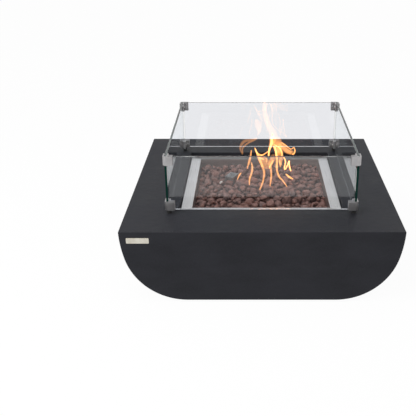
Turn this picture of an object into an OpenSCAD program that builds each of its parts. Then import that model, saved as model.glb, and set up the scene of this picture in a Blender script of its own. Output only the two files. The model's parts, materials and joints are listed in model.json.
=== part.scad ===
// Square gas fire pit table. A cast body with bellied sides stands on low rubber feet. A steel
// burner pan drops into its deck and holds a ring burner under lava rock. The valve, igniter and
// gas inlet sit in a recessed panel in the back wall. A glass wind guard on rubber feet lifts off.
// Millimetres, +Z up, origin on the floor under the middle of the table, front towards -Y.

/* [Table body] */
// Side of the square table top
table_w = 1000; // [900:5:1200]
// Height of the cast body above its feet
body_h = 274; // [250:1:310]
// Thickness of the cast walls
wall_t = 13; // [10:1:20]
// Thickness of the deck round the burner pan
deck_t = 28; // [24:1:40]
// Radius of the lower curve of each side
belly_r = 225; // [200:5:245]
// Radius of the flatter curve above it
flank_r = 450; // [400:5:600]
// Angle through which the lower curve turns
belly_turn = 75; // [65:1:80]
// Width of the bevel along the outer edges
arris = 2; // [1:0.5:6]
// Width of the sill round the open underside
sill_w = 60; // [54:1:80]
// Radius of each floor foot
foot_r = 23; // [18:1:26]
// Height of each floor foot
foot_h = 7; // [5:1:20]
// Distance from the front and back faces to the middle of each floor foot
foot_in = 75; // [60:1:200]
// Radius of the spigot that plugs a foot into the body
spigot_r = 6; // [4:0.5:8]

/* [Burner pan] */
// Outer side of the pan's square flange
pan_w = 602; // [540:2:640]
// Width of the flange
flange_w = 40; // [30:1:50]
// Depth from the flange to the pan floor
pan_depth = 80; // [72:1:95]
// Thickness of the pan's sheet
pan_sheet = 2; // [1.5:0.5:3]
// Depth of the flange below the table top
pan_drop = 14; // [8:1:18]
// Gap between the flange and the recess round it
recess_gap = 5; // [3:0.5:8]
// Gap between the pan's walls and the deck
deck_gap = 4; // [2:0.5:6]

/* [Burner] */
// Radius of the burner ring's centre line
ring_r = 96; // [80:1:130]
// Radius of the ring's tube
ring_tube_r = 9.5; // [8:0.5:11]
// Wall of the burner's tubes
burner_wall = 1.5; // [1:0.25:2]
// Height of the ring's centre above the pan floor
ring_lift = 26; // [22:1:30]
// Number of gas ports round the ring
port_count = 36; // [18:1:48]
// Radius of each gas port
port_r = 1.4; // [1:0.1:2]
// Outer radius of the pipe nipple
nipple_r = 10.65; // [9:0.05:12]
// Length of the air mixer
mixer_len = 72; // [60:1:80]

/* [Lava rock] */
// Spacing of the stones in the top layer
rock_step = 43; // [36:1:52]
// Rise of the top layer towards its middle
rock_mound = 12; // [4:1:14]
// Depth of rock over the burner ring
rock_cover = 5.5; // [4:0.5:8]

/* [Wind guard] */
// Distance from the pan's recess to the guard's outer face
guard_margin = 46; // [40:1:70]
// Height of the glass
glass_h = 205; // [150:1:260]
// Thickness of the glass
glass_t = 8; // [6:0.5:10]
// Clearance on each side of the glass in its slot
glass_fit = 0.3; // [0.2:0.05:0.5]
// Height of a corner clip
clip_h = 34.5; // [30:0.5:50]
// Length of a corner clip's legs
clip_leg = 36; // [33:1:45]
// Thickness of the clip's walls
clip_wall = 5.5; // [4:0.25:6]
// Bevel on the clip's outer corner
clip_bevel = 8; // [4:0.5:9]
// Thickness of the web between the clip's two slots
clip_web = 3; // [2:0.5:4]
// Thickness of the lower clip's floor
clip_floor = 3; // [2:0.5:5]
// Radius of the guard's rubber feet
guard_foot_r = 8; // [6:0.5:10]
// Height of the guard's rubber feet
guard_foot_h = 13.5; // [8:0.5:20]
// Radius of the clip's set screws
clamp_r = 3; // [2:0.25:4]

/* [Control panel] */
// Inner width of the recess in the back wall
panel_w = 240; // [220:1:280]
// Inner height of the recess
panel_h = 92; // [80:1:110]
// Depth of the recess
panel_depth = 40; // [38:1:50]
// Width of the panel's lip
panel_lip = 16; // [14:1:22]
// Thickness of the panel's sheet
panel_sheet = 1.5; // [1:0.25:2]
// Distance of the knob from the panel's middle
knob_x = 68; // [58:1:75]
// Distance of the igniter from the panel's middle
igniter_x = -82; // [-88:1:-70]
// Distance of the gas inlet from the panel's middle
inlet_x = -16; // [-22:1:-8]
// Radius of the knob's skirt
knob_r = 22; // [18:0.5:26]
// Length of the knob
knob_len = 21; // [18:0.5:24]
// Travel of the knob when it is pressed
knob_travel = 5; // [3:0.5:6]
// Radius of the valve stem
stem_r = 4; // [3:0.25:5]
// Radius of the igniter button
button_r = 8; // [7:0.25:9]
// Travel of the igniter button
button_travel = 4; // [2:0.5:5]
// Radius of the gas inlet's threaded nose
inlet_r = 7.94; // [6:0.02:10]
// Length of the gas inlet's threaded nose
inlet_len = 16; // [12:0.5:18]

/* [Hidden] */
$fn = 64;
// Fits: a running pair, a pair that only seats, and cutter overshoot
run_fit = 0.05;
seat_fit = 0.1;
over = 1;

// Body: heights, and where the two side curves meet
half_w = table_w / 2;
top_z = foot_h + body_h;
flank_z = belly_r + (flank_r - belly_r) * cos(belly_turn);
flank_in = (flank_r - belly_r) * sin(belly_turn);
widest_z = min(body_h, flank_z);
flank_run = sqrt(pow(flank_r, 2) - pow(flank_z - widest_z, 2));
side_run = flank_run - flank_in;
flat_half = half_w - side_run;
bevel_lap = 2;
bevel_bite = 0.02;

// Floor feet: a spigot plugs into the sill and leaves some wall above it
foot_x = flat_half - sill_w / 2;
foot_y = half_w - foot_in;
foot_chamfer = 2;
spigot_cover = 3;
spigot_gap = 1;
spigot_h = wall_t - spigot_cover;

// Pan
pan_open = pan_w - 2 * flange_w;
pan_box = pan_open + 2 * pan_sheet;
recess_w = pan_w + 2 * recess_gap;
flange_z = top_z - pan_drop;
floor_z = flange_z - pan_depth;
under_z = floor_z - pan_sheet;
drain_r = 5;
drain_in = 40;

// Burner ring, its cross tube and its hub
ring_z = floor_z + ring_lift;
bar_step = 1.5;
bar_r = ring_tube_r - bar_step;
hub_wall = 4.5;
hub_r = nipple_r + hub_wall;
hub_h = 26;
hub_drop = 14;
hub_low = ring_z - hub_drop;

// Gas way below the pan
nut_across = 32;
nut_h = 7;
nipple_in = 9;
nipple_drop = 26;
nipple_wall = 2.7;
nipple_low = under_z - nipple_drop;
nipple_bore = nipple_r - nipple_wall;
mixer_wall = 3.5;
mixer_r = nipple_r + mixer_wall;
mixer_in = 12;
mixer_z = nipple_low + mixer_in - mixer_len;
window_w = 9;
window_h = 22;
window_up = 6;
orifice_r = 6.5;
orifice_drop = 14;
orifice_short = 2;
orifice_z = mixer_z - orifice_drop;
collar_h = 5;
collar_out = 4;
elbow_arm = 42;
elbow_r = 8;
elbow_ball = 1;
union_h = 9;
union_in = 12;
union_out = 3;
line_r = 7;

// Rock bed, with a channel left round the burner
bed_gap = 0.5;
bed_half = pan_open / 2 - bed_gap;
channel = 3;
cage_gap = 1;
bed_top = ring_z + ring_tube_r + rock_cover;
rock_gap = 0.8;
rock_r = (rock_step - rock_gap) / 2;
rock_rings = [[0.72, 0], [1, 0.5], [0.6, 1]];
rock_sides = 7;
rock_uneven = 0.2;
rock_low = 17;
rock_seed = 41;

// Igniter cage in the rock, over a bracket that holds the electrode and the flame probe
cage_size = [36, 54];
cage_turn = -25;
cage_way = [-0.8, 0.6];
cage_clear = 21.3;
cage_axes = [[cos(cage_turn), sin(cage_turn)], [-sin(cage_turn), cos(cage_turn)]];
way_in_cage = cage_axes * cage_way;
cage_reach = (abs(way_in_cage[0]) * cage_size[0] + abs(way_in_cage[1]) * cage_size[1]) / 2;
cage_at = cage_way * (ring_r + ring_tube_r + cage_clear + cage_reach);
cage_rise = 32;
cage_top = bed_top + cage_rise;
cage_sheet = 1.2;
cage_holes = [4, 6];
cage_bar = 2.4;
bracket_t = 2;
bracket_gap = 0.3;
sensor_hole_r = 15;
electrode_at = cage_at + [7, -7] * cage_axes;
electrode_r = 3.5;
electrode_drop = 8;
electrode_low = under_z - electrode_drop;
electrode_collar = 1.5;
electrode_collar_h = 6;
pin_r = 1.2;
pin_len = 10;
pin_gap = 6;
electrode_top = cage_top - pin_len - pin_gap;
probe_root = cage_at + [-7, -9] * cage_axes;
probe_end = cage_at + [-40, -60];
probe_run = norm(probe_end - probe_root);
probe_drop = 7;
probe_z = cage_top - probe_drop;
probe_r = 2;
probe_ball = 0.4;
tip_r = 4;
tip_len = 12;

// Wind guard
guard_w = recess_w + 2 * guard_margin;
slot_w = glass_t + 2 * glass_fit;
clip_t = 2 * clip_wall + slot_w;
clip_z = top_z + guard_foot_h;
clip_over = 1;
glass_z = clip_z + clip_floor;
upper_z = glass_z + glass_h + clip_over - clip_h;
guard_foot_in = clip_wall + guard_foot_r;
clamp_at = (clip_t + clip_leg) / 2;
clamp_len = clip_wall + glass_fit;
clamp_head_r = clamp_r + 1.5;
clamp_head_h = 2.5;
clamp_taper = 1;
glass_arris = 0.8;
glass_gap = 0.2;

// Control panel: the recess floor faces +Y
panel_face = half_w - panel_depth;
panel_z = foot_h + wall_t + (body_h - deck_t - wall_t) / 2;
panel_gap = 1;
screw_r = 2.2;
screw_head_r = 4;
screw_head_h = 2.2;
screw_taper = 1;
screw_sink = 0.5;
screw_len = 8;
rabbet = panel_sheet + screw_head_h + screw_sink;

// Valve, measured out from the panel's face
valve_size = [38, 46, 56];
valve_low = -panel_sheet - valve_size[2];
bushing_wall = 4;
bushing_r = stem_r + bushing_wall;
bushing_h = 7;
valve_nut_h = 4;
valve_nut_across = 2 * bushing_r + 3;
plug_wall = 6;
plug_r = stem_r + plug_wall;
plug_z = -14;
plug_base = 5;
stem_in = 9.5;
stem_wire_r = 0.4;
stem_coil_room = 4.5;
plug_bore = stem_in + knob_travel + stem_coil_room;
plug_len = plug_bore + plug_base;
plug_low = plug_z - seat_fit - plug_len;
cap_lip = 3;
cap_h = 4;
boss_r = 8;
boss_h = 11;
boss_y = -46;
outlet_y = -40;
sensor_at = [13, -18];
sensor_boss_r = 4;
sensor_boss_h = 6;
spring_turns = 4;

// Knob: pressed, it stops clear of the panel
knob_clear = 4;
knob_rest = knob_travel + knob_clear;
knob_crown = 4;
knob_skirt = 3;
knob_step = 4;
grip_r = knob_r - knob_step;
hollow_gap = 0.8;
hollow_r = valve_nut_across / 2 / cos(30) + hollow_gap;
hollow_room = 5;
knob_hollow = bushing_h - knob_clear + hollow_room;
pointer_w = 6;
pointer_out = 1.5;
knob_flutes = 12;
flute_r = 2.2;
flute_out = 1;
flute_up = 1;
skirt_ledge = 1;

// Igniter: battery, spring and button share the barrel's bore
barrel_wall = 4;
barrel_r = button_r + barrel_wall;
barrel_floor = 3;
igniter_flange = 3;
flange_out = 4;
igniter_nut_h = 6;
igniter_nut_across = 2 * barrel_r + 7;
button_in = 5;
button_proud = 2;
button_out = igniter_flange + button_travel + button_proud;
button_chamfer = 1.5;
battery_gap = 0.8;
battery_r = button_r - battery_gap;
battery_len = 49;
battery_tip_r = 2.7;
battery_tip_h = 2;
igniter_wire_r = 0.5;
igniter_coil_in = 2;
igniter_coil_room = 5.5;
igniter_room = button_travel + igniter_coil_room;
barrel_len = barrel_floor + battery_len + battery_tip_h + igniter_room + button_in;
terminal_w = 4;
terminal_t = 1;
terminal_h = 6;

// Gas inlet
inlet_hex = 24;
inlet_hex_h = 7;
inlet_bore = 4;
inlet_rear = 20;
inlet_nut_h = 7;
nose_in = 1;
nose_taper = 3;
nose_h = 3;
supply_r = 5;
supply_stub = 6;

// Lines inside the body: the end points and the pulls of each curve
lead_r = 1.75;
capillary_r = 1.5;
valve_rear = panel_face + valve_low - sensor_boss_h;
igniter_rear = panel_face - barrel_len - terminal_h;
line_drop = 100;
line_run = 200;
capillary_drop = 100;
capillary_run = 140;
lead_drop = 30;
lead_run = 150;
line_route = [
    [knob_x, panel_face + outlet_y, panel_z - valve_size[1] / 2 - boss_h],
    [knob_x, panel_face + outlet_y, panel_z - line_drop],
    [0, line_run, orifice_z],
    [0, elbow_arm, orifice_z]
];
capillary_route = [
    [probe_root[0], probe_root[1], under_z],
    [probe_root[0], probe_root[1], under_z - capillary_drop],
    [knob_x + sensor_at[0], valve_rear - capillary_run, panel_z - sensor_at[1]],
    [knob_x + sensor_at[0], valve_rear, panel_z - sensor_at[1]]
];
lead_route = [
    [electrode_at[0], electrode_at[1], electrode_low],
    [electrode_at[0], electrode_at[1], electrode_low - lead_drop],
    [igniter_x, igniter_rear - lead_run, panel_z],
    [igniter_x, igniter_rear, panel_z]
];

// Where each corner of a square pattern lies: front left, front right, back left, back right
corners = [[-1, -1], [1, -1], [-1, 1], [1, 1]];

// Helpers

// Centred square plate, standing on z
module plate(w, h, z) translate([-w / 2, -w / 2, z]) cube([w, w, h]);

// Places what points along +Z so that it points out of the back wall, at x on the panel
module outward(x) translate([x, panel_face, panel_z]) rotate([-90, 0, 0]) children();

// Mirrors what is drawn for the front left corner into corner c
module at_corner(c) mirror([c[0] > 0 ? 1 : 0, 0, 0]) mirror([0, c[1] > 0 ? 1 : 0, 0]) children();

// Hexagonal bar with its flats across apart
module hex_bar(across, h) cylinder(r = across / 2 / cos(30), h = h, $fn = 6);

module hex_nut(across, h, bore_r) {
    difference() {
        hex_bar(across, h);
        translate([0, 0, -over]) cylinder(r = bore_r, h = h + 2 * over);
    }
}

function bezier(p, t) =
    pow(1 - t, 3) * p[0] + 3 * pow(1 - t, 2) * t * p[1] + 3 * (1 - t) * t * t * p[2] + pow(t, 3) * p[3];

function unit(v) = v / norm(v);

// Path of a line between two faces: each end runs straight for stub, square to its face
function line_path(p, steps, stub) =
    let (
        a = p[0] + stub * unit(p[1] - p[0]),
        b = p[3] + stub * unit(p[2] - p[3]),
        curve = [a, p[1], p[2], b]
    )
    concat([p[0]], [for (i = [0:steps]) bezier(curve, i / steps)], [p[3]]);

function heading(path, i) = unit(path[min(i + 1, len(path) - 1)] - path[max(i - 1, 0)]);

// Round tube along a path; side is a direction that the path never runs along
module tube(path, r, sides, side) {
    rings = len(path);
    points = [
        for (i = [0:rings - 1])
            let (run = heading(path, i), e = unit(cross(run, side)), f = cross(e, run))
            for (k = [0:sides - 1]) path[i] + r * (cos(360 * k / sides) * e + sin(360 * k / sides) * f)
    ];
    skin = [
        for (i = [0:rings - 2], k = [0:sides - 1])
            let (a = i * sides + k, b = i * sides + (k + 1) % sides)
            each [[a, b, a + sides], [b, b + sides, a + sides]]
    ];
    first = [for (k = [1:sides - 2]) [0, k + 1, k]];
    base = (rings - 1) * sides;
    last = [for (k = [1:sides - 2]) [base, base + k, base + k + 1]];
    polyhedron(points, concat(skin, first, last), convexity = 6);
}

// Coil spring that stands on z = 0
module spring(coil_r, wire_r, h) {
    steps = 10;
    count = spring_turns * steps;
    rise = (h - 2 * wire_r) / count;
    path = [
        for (i = [0:count])
            [coil_r * cos(360 * i / steps), coil_r * sin(360 * i / steps), wire_r + rise * i]
    ];
    tube(path, wire_r, 6, [0, 0, 1]);
}

// Body and feet

// Outline of the body seen from the front, drawn in from its sides and underside by inset.
// The smaller circle lies inside the larger one above the turn, so the pieces may overlap there.
module body_outline(inset, top) {
    turn_z = belly_r - (belly_r - inset) * cos(belly_turn);
    translate([-flat_half, inset]) square([2 * flat_half, top - inset]);
    for (s = [-1, 1]) {
        side = s < 0 ? -half_w : flat_half - over;
        intersection() {
            translate([s * flat_half, belly_r]) circle(r = belly_r - inset, $fn = 256);
            translate([side, inset]) square([side_run + over, turn_z - inset + over]);
        }
        intersection() {
            translate([s * (half_w - flank_run), flank_z]) circle(r = flank_r - inset, $fn = 256);
            translate([side, turn_z]) square([side_run + over, min(top, flank_z) - turn_z]);
        }
        if (top > flank_z) translate([s < 0 ? side + inset : side, flank_z - over])
            square([side_run - inset + over, top - flank_z + over]);
    }
}

module body_block(inset, top, depth) {
    rotate([90, 0, 0]) linear_extrude(height = depth, center = true) body_outline(inset, top);
}

// Cutter along +X that bevels the edge between a front face and a face that looks along +Z
module edge_bevel(length) {
    translate([-over, 0, 0]) rotate([45, 0, 0])
        translate([0, -2 * arris, -arris / sqrt(2)]) cube([length + 2 * over, 4 * arris, 2 * arris]);
}

// Cutter for an arc of the front face's outline, between two angles below the level
module arc_bevel(at, r, low, high) {
    translate([at[0], -half_w, at[1]]) rotate([-90, 0, 0]) rotate([0, 0, low])
        rotate_extrude(angle = high - low, $fn = 256)
            polygon([[r - arris - over, -over], [r + over, arris + over], [r + over, -over]]);
}

// Bevels all round the front face. The flank's arc bites a hair deeper and laps past the turn, so
// that its bevel crosses the belly's there.
module front_bevels() {
    translate([-half_w, -half_w, body_h]) edge_bevel(table_w);
    translate([-flat_half, -half_w, 0]) mirror([0, 0, 1]) edge_bevel(2 * flat_half);
    for (m = [0, 1]) mirror([m, 0, 0]) {
        arc_bevel([flat_half, belly_r], belly_r, 90 - belly_turn, 90);
        arc_bevel([half_w - flank_run, flank_z], flank_r - bevel_bite, 0, 90 - belly_turn + bevel_lap);
        if (body_h > flank_z) translate([half_w, -half_w, body_h]) rotate([0, 90, 0])
            edge_bevel(body_h - flank_z);
    }
}

// Block that opens the back wall round the panel, grown past the recess and depth deep
module panel_cut(grown, depth) {
    translate([-(panel_w + grown) / 2, half_w - depth, -(panel_h + grown) / 2])
        cube([panel_w + grown, depth + over, panel_h + grown]);
}

// Puts a screw that points into the back wall at one corner of the panel's lip
module screw_place(c) {
    translate([c[0] * (panel_w + panel_lip) / 2, half_w, c[1] * (panel_h + panel_lip) / 2])
        rotate([90, 0, 0]) children();
}

module table_body() {
    color("#3b3c40") translate([0, 0, foot_h]) difference() {
        body_block(0, body_h, table_w);
        body_block(wall_t, body_h - deck_t, table_w - 2 * wall_t);
        for (m = [0, 1]) mirror([0, m, 0]) front_bevels();
        for (a = [90, 270]) rotate([0, 0, a]) translate([-half_w, -half_w, body_h]) edge_bevel(table_w);
        // Open underside inside the sill
        translate([sill_w - flat_half, sill_w - half_w, -over])
            cube([2 * (flat_half - sill_w), table_w - 2 * sill_w, wall_t + 2 * over]);
        // Opening and recess for the burner pan
        plate(pan_box + 2 * deck_gap, deck_t + 2 * over, body_h - deck_t - over);
        plate(recess_w, pan_drop + pan_sheet + over, body_h - pan_drop - pan_sheet);
        // Opening and rabbet for the control panel
        translate([0, 0, panel_z - foot_h]) {
            panel_cut(2 * panel_sheet + 2 * panel_gap, wall_t + over);
            panel_cut(2 * panel_lip + 2 * panel_gap, rabbet);
            for (c = corners) screw_place(c) cylinder(r = screw_r + seat_fit, h = rabbet + screw_len);
        }
        for (c = corners) translate([c[0] * foot_x, c[1] * foot_y, -over])
            cylinder(r = spigot_r + seat_fit, h = spigot_h + over);
    }
}

module floor_foot(c) {
    color("#1c1c1d") translate([c[0] * foot_x, c[1] * foot_y, 0]) {
        cylinder(r1 = foot_r - foot_chamfer, r2 = foot_r, h = foot_chamfer);
        translate([0, 0, foot_chamfer]) cylinder(r = foot_r, h = foot_h - foot_chamfer);
        cylinder(r = spigot_r, h = foot_h + spigot_h - spigot_gap);
    }
}

module foot_front_left() floor_foot(corners[0]);
module foot_front_right() floor_foot(corners[1]);
module foot_back_left() floor_foot(corners[2]);
module foot_back_right() floor_foot(corners[3]);

// Burner pan and burner

module burner_pan() {
    through = pan_sheet + 2 * over;
    color("#b9bab8") difference() {
        union() {
            plate(pan_w, pan_sheet, flange_z - pan_sheet);
            plate(pan_box, pan_depth + pan_sheet, under_z);
        }
        plate(pan_open, pan_depth + over, floor_z);
        translate([0, 0, under_z - over]) {
            cylinder(r = nipple_r + seat_fit, h = through);
            translate(cage_at) cylinder(r = sensor_hole_r, h = through);
            for (c = corners) translate(c * (pan_open / 2 - drain_in)) cylinder(r = drain_r, h = through);
        }
    }
}

// Drilled ring with a cross tube that feeds it from a capped hub
module burner_ring() {
    color("#8d8f90") translate([0, 0, ring_z]) difference() {
        union() {
            rotate_extrude() translate([ring_r, 0]) circle(r = ring_tube_r);
            rotate([0, 90, 0]) cylinder(r = bar_r, h = 2 * ring_r, center = true);
            translate([0, 0, -hub_drop]) cylinder(r = hub_r, h = hub_h);
        }
        rotate_extrude() translate([ring_r, 0]) circle(r = ring_tube_r - burner_wall);
        rotate([0, 90, 0]) cylinder(r = bar_r - burner_wall, h = 2 * ring_r, center = true);
        translate([0, 0, -hub_drop - over]) cylinder(r = nipple_r + seat_fit, h = hub_h - burner_wall);
        for (i = [0:port_count - 1]) rotate([0, 0, 360 * (i + 0.5) / port_count])
            translate([ring_r, 0, 0]) cylinder(r = port_r, h = ring_tube_r + over);
    }
}

module burner_nipple() {
    length = hub_low + nipple_in - nipple_low;
    color("#9a9b9c") translate([0, 0, nipple_low]) difference() {
        cylinder(r = nipple_r, h = length);
        translate([0, 0, -over]) cylinder(r = nipple_bore, h = length + 2 * over);
    }
}

module locknut(z) color("#a5a6a6") translate([0, 0, z]) hex_nut(nut_across, nut_h, nipple_r + seat_fit);

module upper_locknut() locknut(floor_z);
module lower_locknut() locknut(under_z - nut_h);

module air_mixer() {
    color("#b08d57") translate([0, 0, mixer_z]) difference() {
        cylinder(r = mixer_r, h = mixer_len);
        translate([0, 0, mixer_len - mixer_in]) cylinder(r = nipple_r + seat_fit, h = mixer_in + over);
        translate([0, 0, mixer_in]) cylinder(r = nipple_bore, h = mixer_len);
        translate([0, 0, -over]) cylinder(r = orifice_r + seat_fit, h = mixer_in + 2 * over);
        for (a = [0, 90]) rotate([0, 0, a])
            translate([-mixer_r - over, -window_w / 2, mixer_in + window_up])
                cube([2 * mixer_r + 2 * over, window_w, window_h]);
    }
}

module orifice_elbow() {
    color("#b5904f") translate([0, 0, orifice_z]) {
        cylinder(r = orifice_r, h = orifice_drop + mixer_in - orifice_short);
        translate([0, 0, orifice_drop - collar_h]) hex_bar(2 * (orifice_r + collar_out), collar_h);
        sphere(r = elbow_r + elbow_ball);
        rotate([-90, 0, 0]) cylinder(r = elbow_r, h = elbow_arm);
        translate([0, elbow_arm - union_in, 0]) rotate([-90, 0, 0])
            hex_bar(2 * (elbow_r + union_out), union_h);
    }
}

module burner_gas_line() {
    color("#c2c3c2") tube(line_path(line_route, 20, 2 * line_r), line_r, 12, [1, 0, 0]);
}

// Lava rock

// Lower layer of rock, buried round the burner
module lava_rock_bed() {
    tunnel = ring_z + ring_tube_r + channel - floor_z + over;
    color("#4a3631") difference() {
        plate(2 * bed_half, bed_top - floor_z, floor_z);
        translate([0, 0, floor_z - over]) {
            difference() {
                cylinder(r = ring_r + ring_tube_r + channel, h = tunnel);
                cylinder(r = ring_r - ring_tube_r - channel, h = tunnel);
            }
            translate([-ring_r, -bar_r - channel, 0]) cube([2 * ring_r, 2 * (bar_r + channel), tunnel]);
            cylinder(r = max(hub_r, nut_across / 2 / cos(30)) + channel, h = tunnel);
        }
        cage_block(cage_gap, floor_z - over, bed_top + over);
    }
}

// Places what is drawn from the cage's middle line and along its sides
module at_cage(z) translate([cage_at[0], cage_at[1], z]) rotate([0, 0, cage_turn]) children();

// Upright block round the igniter cage, grown by g on each side
module cage_block(g, low, high) {
    at_cage(low) translate([-cage_size[0] / 2 - g, -cage_size[1] / 2 - g, 0])
        cube([cage_size[0] + 2 * g, cage_size[1] + 2 * g, high - low]);
}

// Distance of p from the stretch between a and b
function reach(p, a, b) =
    let (t = max(0, min(1, (p - a) * (b - a) / ((b - a) * (b - a))))) norm(p - a - t * (b - a));

function beside_cage(p, k) = abs((p - cage_at) * cage_axes[k]) > cage_size[k] / 2 + rock_r;

function clear_of_cage(p) =
    (beside_cage(p, 0) || beside_cage(p, 1))
    && reach(p, probe_root, probe_end) > rock_r + tip_r + tip_len / 2;

// Stones of the top layer stand in offset rows
function rock_places() =
    let (room = bed_half - rock_r, row = rock_step * sin(60), rows = floor(room / row))
    [
        for (j = [-rows:rows], i = [-ceil(room / rock_step):ceil(room / rock_step)])
            let (p = [(i + (j % 2 == 0 ? 0 : 0.5)) * rock_step, j * row])
            if (abs(p[0]) <= room && clear_of_cage(p)) p
    ];

// One stone: three uneven rings of points wrapped together, flat where it stands on the layer below
module rock(p, i) {
    far = max(abs(p[0]), abs(p[1])) / bed_half;
    h = rock_low + rock_mound * (1 - far * far);
    count = len(rock_rings) * rock_sides;
    draws = rands(0, 1, 3 * count, rock_seed + i);
    points = [
        for (k = [0:count - 1])
            let (
                ring = rock_rings[floor(k / rock_sides)],
                r = rock_r * ring[0] * (1 - rock_uneven * draws[3 * k]),
                a = 360 / rock_sides * (k + draws[3 * k + 1] / 2),
                z = h * ring[1] * (1 - rock_uneven * draws[3 * k + 2])
            )
            [r * cos(a), r * sin(a), z]
    ];
    translate([p[0], p[1], bed_top]) hull()
        polyhedron(points, [for (k = [1:count - 2]) [0, k, k + 1]]);
}

module lava_rocks() {
    places = rock_places();
    color("#6b4138") for (i = [0:len(places) - 1]) rock(places[i], i);
}

// Igniter cage, electrode and flame probe in the rock

module igniter_cage() {
    pitch = [for (k = [0, 1]) (cage_size[k] - cage_bar) / cage_holes[k]];
    first = [cage_bar, cage_bar] - cage_size / 2;
    color("#77797b") difference() {
        cage_block(0, floor_z, cage_top);
        cage_block(-cage_sheet, floor_z - over, cage_top - cage_sheet);
        for (i = [0:cage_holes[0] - 1], j = [0:cage_holes[1] - 1])
            at_cage(cage_top - 2 * cage_sheet)
                translate([first[0] + i * pitch[0], first[1] + j * pitch[1], 0])
                    cube([pitch[0] - cage_bar, pitch[1] - cage_bar, 3 * cage_sheet]);
        along_probe() cylinder(r = probe_r + seat_fit, h = cage_size[1]);
    }
}

// Plate on the pan floor, inside the cage, that the electrode and the probe stand in
module sensor_bracket() {
    color("#9b9c9d") difference() {
        cage_block(-cage_sheet - bracket_gap, floor_z, floor_z + bracket_t);
        for (hole = [[electrode_at, electrode_r], [probe_root, probe_r]])
            translate([hole[0][0], hole[0][1], floor_z - over])
                cylinder(r = hole[1] + seat_fit, h = bracket_t + 2 * over);
    }
}

// Places what points along +Z so that it lies along the probe, from its root
module along_probe() {
    way = probe_end - probe_root;
    translate([probe_root[0], probe_root[1], probe_z])
        rotate([0, 0, atan2(way[1], way[0])]) rotate([0, 90, 0]) children();
}

module flame_probe() {
    color("#a9aaab") union() {
        along_probe() cylinder(r = probe_r, h = probe_run);
        translate([probe_root[0], probe_root[1], under_z]) cylinder(r = probe_r, h = probe_z - under_z);
        translate([probe_root[0], probe_root[1], probe_z]) sphere(r = probe_r + probe_ball);
    }
}

module probe_tip() {
    color("#e8e6e0") along_probe() translate([0, 0, probe_run]) cylinder(r = tip_r, h = tip_len);
}

module igniter_electrode() {
    color("#eceae4") translate([electrode_at[0], electrode_at[1], electrode_low]) {
        cylinder(r = electrode_r, h = electrode_top - electrode_low);
        translate([0, 0, floor_z + bracket_t - electrode_low])
            cylinder(r = electrode_r + electrode_collar, h = electrode_collar_h);
    }
}

module electrode_pin() {
    color("#8a8b8c") translate([electrode_at[0], electrode_at[1], electrode_top]) {
        cylinder(r = pin_r, h = pin_len);
        translate([0, 0, pin_len]) sphere(r = pin_r);
    }
}

module igniter_lead() {
    color("#8c2f25") tube(line_path(lead_route, 17, 2 * lead_r), lead_r, 8, [1, 0, 0]);
}

module probe_lead() {
    color("#b87333") tube(line_path(capillary_route, 19, 2 * capillary_r), capillary_r, 8, [1, 0, 0]);
}

// Control panel in the back wall

module control_panel() {
    lip = [panel_w, panel_h] + 2 * [panel_lip, panel_lip];
    box = [panel_w, panel_h] + 2 * [panel_sheet, panel_sheet];
    lip_y = half_w - rabbet;
    color("#c3c5c6") difference() {
        union() {
            translate([-lip[0] / 2, lip_y, panel_z - lip[1] / 2]) cube([lip[0], panel_sheet, lip[1]]);
            translate([-box[0] / 2, panel_face - panel_sheet, panel_z - box[1] / 2])
                cube([box[0], lip_y + 2 * panel_sheet - panel_face, box[1]]);
        }
        translate([-panel_w / 2, panel_face, panel_z - panel_h / 2]) cube([panel_w, panel_depth, panel_h]);
        for (hole = [[knob_x, bushing_r], [igniter_x, barrel_r], [inlet_x, inlet_r]])
            outward(hole[0]) translate([0, 0, -2 * panel_sheet])
                cylinder(r = hole[1] + seat_fit, h = 3 * panel_sheet);
        for (c = corners) translate([0, 0, panel_z]) screw_place(c)
            cylinder(r = screw_r + seat_fit, h = rabbet + over);
    }
}

module panel_screws() {
    color("#d0d1d1") for (c = corners) translate([0, 0, panel_z]) screw_place(c) {
        translate([0, 0, rabbet - panel_sheet]) cylinder(r = screw_r, h = screw_len);
        translate([0, 0, rabbet - panel_sheet - screw_head_h])
            cylinder(r1 = screw_head_r - screw_taper, r2 = screw_head_r, h = screw_head_h);
    }
}

// Gas valve and knob

module gas_valve() {
    color("#a8a9aa") outward(knob_x) difference() {
        union() {
            translate([-valve_size[0] / 2, -valve_size[1] / 2, valve_low]) cube(valve_size);
            translate([0, 0, -over - panel_sheet])
                cylinder(r = bushing_r, h = bushing_h + panel_sheet + over);
            // Gas comes in at the side and leaves at the bottom
            translate([-valve_size[0] / 2 - boss_h, 0, boss_y]) rotate([0, 90, 0])
                cylinder(r = boss_r, h = boss_h + over);
            translate([0, valve_size[1] / 2 - over, outlet_y]) rotate([-90, 0, 0])
                cylinder(r = boss_r, h = boss_h + over);
            translate([sensor_at[0], sensor_at[1], valve_low - sensor_boss_h])
                cylinder(r = sensor_boss_r, h = sensor_boss_h + over);
        }
        translate([0, 0, plug_z]) cylinder(r = stem_r + run_fit, h = bushing_h - plug_z + over);
        translate([0, 0, valve_low - over]) cylinder(r = plug_r + run_fit, h = plug_z - valve_low + over);
    }
}

module valve_nut() {
    color("#b7b8b9") outward(knob_x) hex_nut(valve_nut_across, valve_nut_h, bushing_r + seat_fit);
}

// Turns with the knob and lets the stem slide in it
module valve_plug() {
    color("#b5904f") outward(knob_x) translate([0, 0, plug_low]) difference() {
        cylinder(r = plug_r, h = plug_len);
        translate([0, 0, plug_base]) cylinder(r = stem_r + run_fit, h = plug_bore + over);
    }
}

module valve_cap() {
    color("#8f9091") outward(knob_x) union() {
        translate([0, 0, valve_low - cap_h]) cylinder(r = plug_r + cap_lip, h = cap_h);
        translate([0, 0, valve_low - over])
            cylinder(r = plug_r - seat_fit, h = plug_low - seat_fit - valve_low + over);
    }
}

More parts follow.
